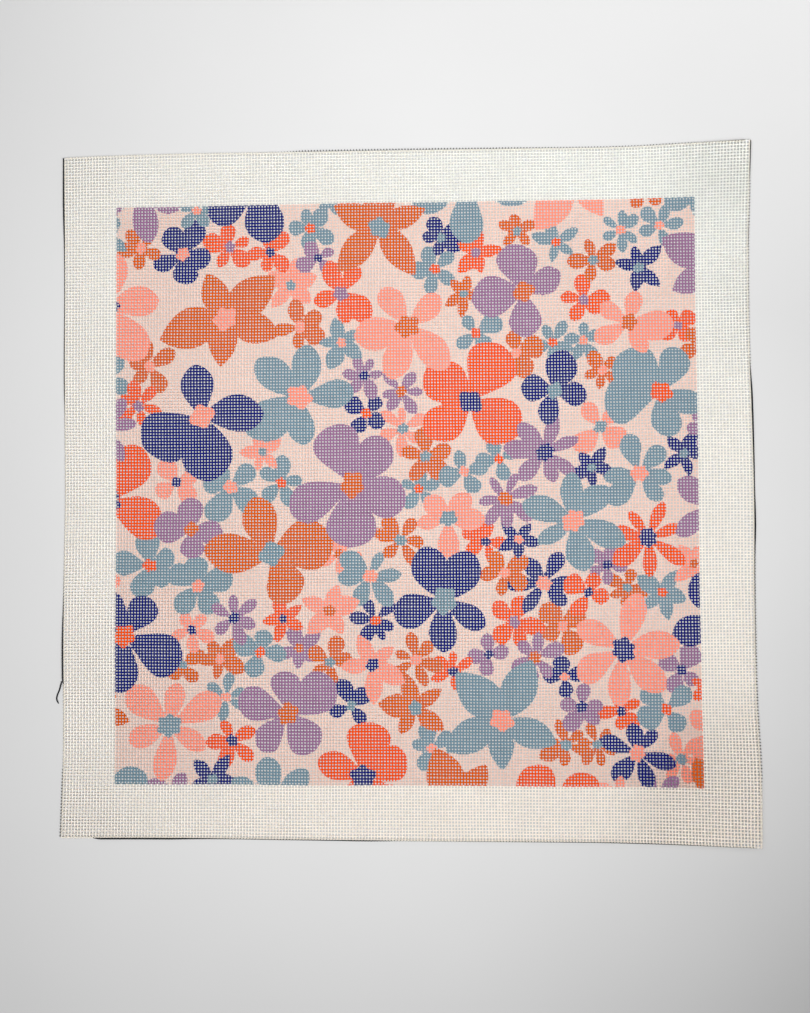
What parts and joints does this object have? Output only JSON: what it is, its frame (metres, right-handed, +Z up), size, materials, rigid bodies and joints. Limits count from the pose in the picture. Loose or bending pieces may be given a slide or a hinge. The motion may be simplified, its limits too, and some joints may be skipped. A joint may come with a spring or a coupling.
{
  "type": "needlepoint canvas panel",
  "caption": "Square of stiff open mono canvas with a printed floral field, blank tacking margins and overlocked edges, lying flat with its corners a little raised.",
  "frame": {"origin": "middle of the panel's box at the surface that it lies on", "axes": "+Z up out of the printed side, +X to the right of the print, +Y to its top"},
  "size_m": [0.483, 0.482, 0.0055],
  "materials": {
    "mono_canvas": "stiffly sized woven cotton, matt, cream in the margins and printed in pale pink, coral, orange, vermilion, lilac, blue grey and navy in the middle",
    "overlock_thread": "spun sewing thread, near black navy with cream needle thread, slightly lustrous"
  },
  "bodies": {
    "root": {"canvas": "mono_canvas", "overlock_left": "overlock_thread", "overlock_right": "overlock_thread", "overlock_bottom": "overlock_thread", "overlock_top": "overlock_thread", "thread_tail": "overlock_thread"}
  },
  "joints": []
}
